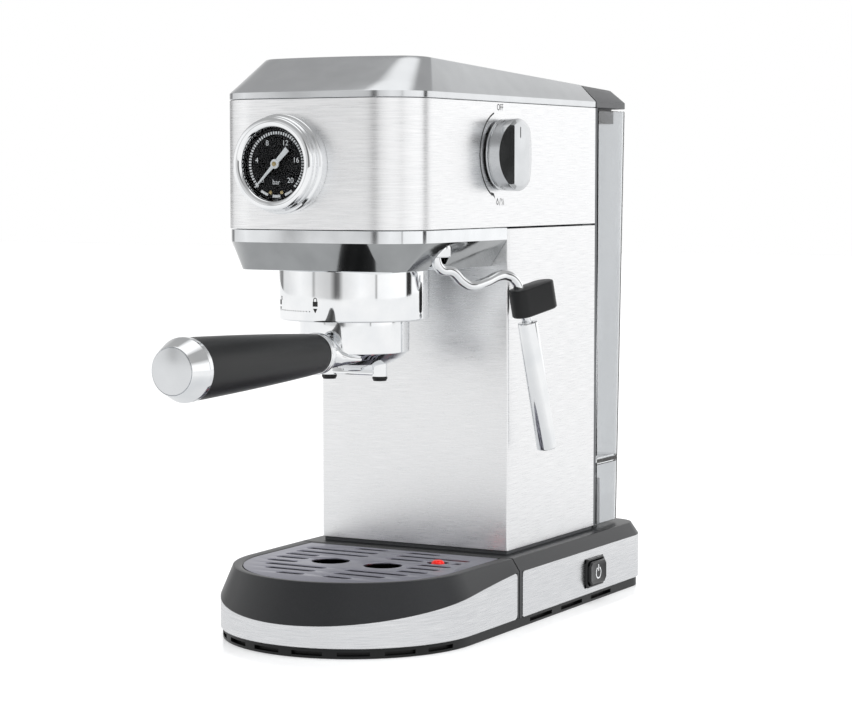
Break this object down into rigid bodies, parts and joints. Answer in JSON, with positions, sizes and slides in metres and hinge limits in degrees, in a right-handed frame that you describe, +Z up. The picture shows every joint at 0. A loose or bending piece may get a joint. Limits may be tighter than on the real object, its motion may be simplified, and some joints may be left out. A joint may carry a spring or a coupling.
{
  "type": "espresso machine",
  "caption": "Slim pump espresso machine with lever-locked filter holder, steam wand, dial gauge, side knob, drip tray and lift-out rear water tank.",
  "frame": {"origin": "centre of the base footprint, on the worktop plane", "axes": "+Z up, -Y towards the user at the front, +X towards the steam knob side"},
  "size_m": [0.1575, 0.406, 0.3112],
  "materials": {
    "steel": "brushed stainless sheet",
    "satin_metal": "satin silver",
    "chrome": "polished chrome plate",
    "chrome_plastic": "bright plated moulding",
    "black_plastic": "fine textured moulding",
    "grey_plastic": "satin moulding",
    "dark_rim": "satin moulding",
    "soft_black": "soft touch",
    "gloss_black": "gloss",
    "clear_tank": "clear smoky plastic",
    "clear_lens": "clear",
    "dial": "matt print",
    "needle": "white paint",
    "red": "gloss",
    "rubber": "matt",
    "silicone": "matt",
    "grid_steel": "satin",
    "cast": "cast",
    "brass": "turned",
    "pump_blue": "moulded",
    "board": "lacquered board",
    "dock_grey": "satin moulding",
    "screws": "plated"
  },
  "bodies": {
    "machine": {"base_plate": "black_plastic", "rubber_feet": "rubber", "base_housing": "dark_rim", "base_band": "steel", "base_screws": "screws", "switch_housing": "black_plastic", "cord_gland": "rubber", "column_shell": "steel", "column_back": "grey_plastic", "tank_dock": "dock_grey", "dock_seal": "silicone", "head_band": "steel", "head_floor": "grey_plastic", "top_cap": "satin_metal", "cup_plate": "grid_steel", "button_panel": "black_plastic", "lower_cap": "chrome_plastic", "group_collar": "chrome", "boiler": "cast", "boiler_screws": "screws", "group_gasket": "rubber", "shower_screen": "steel", "screen_screw": "screws", "pump": "pump_blue", "pump_mounts": "rubber", "suction_hose": "silicone", "pressure_hose": "silicone", "steam_hose": "silicone", "solenoid_valve": "black_plastic", "steam_valve": "brass", "thermostats": "grey_plastic", "control_board": "board", "gauge_case": "chrome", "gauge_dial": "dial", "gauge_lens": "clear_lens", "wand_socket": "chrome", "knob_bush": "black_plastic"},
    "filter_holder": {"holder_cup": "chrome", "filter_basket": "steel", "spout": "chrome", "spout_tips": "black_plastic", "handle_neck": "chrome", "handle_grip": "soft_black", "handle_cap": "chrome"},
    "steam_wand": {"wand_tube": "chrome", "wand_grip": "soft_black"},
    "sleeve": {"froth_sleeve": "chrome"},
    "knob": {"steam_knob": "chrome_plastic"},
    "needle": {"gauge_needle": "needle"},
    "single_button": {"button_one": "satin_metal"},
    "double_button": {"button_two": "satin_metal"},
    "steam_button": {"button_steam": "satin_metal"},
    "power": {"power_button": "gloss_black"},
    "tray": {"drip_tray": "dark_rim", "tray_band": "steel"},
    "grid": {"drip_grid": "grid_steel"},
    "float": {"tray_float": "red"},
    "tank": {"water_tank": "clear_tank", "tank_valve": "silicone"},
    "lid": {"tank_lid": "grey_plastic"}
  },
  "joints": [
    {"name": "holder_lock", "type": "hinge", "parent": "machine", "child": "filter_holder", "pos_m": [0, -0.0795, 0.17], "axis": [0, 0, 1], "range_deg": [-45, 0]},
    {"name": "wand_swivel", "type": "hinge", "parent": "machine", "child": "steam_wand", "pos_m": [0.05, -0.0795, 0.2105], "axis": [0, 0, 1], "range_deg": [-95, 0]},
    {"name": "sleeve_pull", "type": "slide", "parent": "steam_wand", "child": "sleeve", "axis": [0.0686, 0.2027, -0.9768], "range_m": [0, 0.03]},
    {"name": "knob_turn", "type": "hinge", "parent": "machine", "child": "knob", "pos_m": [0.06, -0.0248, 0.2598], "axis": [1, 0, 0], "range_deg": [0, 180]},
    {"name": "needle_turn", "type": "hinge", "parent": "machine", "child": "needle", "pos_m": [-0.0124, -0.1295, 0.2545], "axis": [0, 1, 0], "range_deg": [0, 270]},
    {"name": "single_press", "type": "slide", "parent": "machine", "child": "single_button", "axis": [0, -0.0468, -0.9989], "range_m": [0, 0.0016], "stiffness_N_per_m": 800, "springref_m": -0.0006},
    {"name": "double_press", "type": "slide", "parent": "machine", "child": "double_button", "axis": [0, -0.0468, -0.9989], "range_m": [0, 0.0016], "stiffness_N_per_m": 800, "springref_m": -0.0006},
    {"name": "steam_press", "type": "slide", "parent": "machine", "child": "steam_button", "axis": [0, -0.0468, -0.9989], "range_m": [0, 0.0016], "stiffness_N_per_m": 800, "springref_m": -0.0006},
    {"name": "power_press", "type": "slide", "parent": "machine", "child": "power", "axis": [-1, 0, 0], "range_m": [0, 0.0022], "stiffness_N_per_m": 600, "springref_m": -0.0006},
    {"name": "tray_pull", "type": "slide", "parent": "machine", "child": "tray", "axis": [0, -1, 0], "range_m": [0, 0.15]},
    {"name": "grid_lift", "type": "slide", "parent": "tray", "child": "grid", "axis": [0, 0, 1], "range_m": [0, 0.06]},
    {"name": "float_rise", "type": "slide", "parent": "tray", "child": "float", "axis": [0, 0, 1], "range_m": [0, 0.008]},
    {"name": "tank_lift", "type": "slide", "parent": "machine", "child": "tank", "axis": [0, 0, 1], "range_m": [0, 0.25]},
    {"name": "lid_hinge", "type": "hinge", "parent": "tank", "child": "lid", "pos_m": [0, 0.1464, 0.2891], "axis": [-1, 0, 0], "range_deg": [0, 80]}
  ]
}
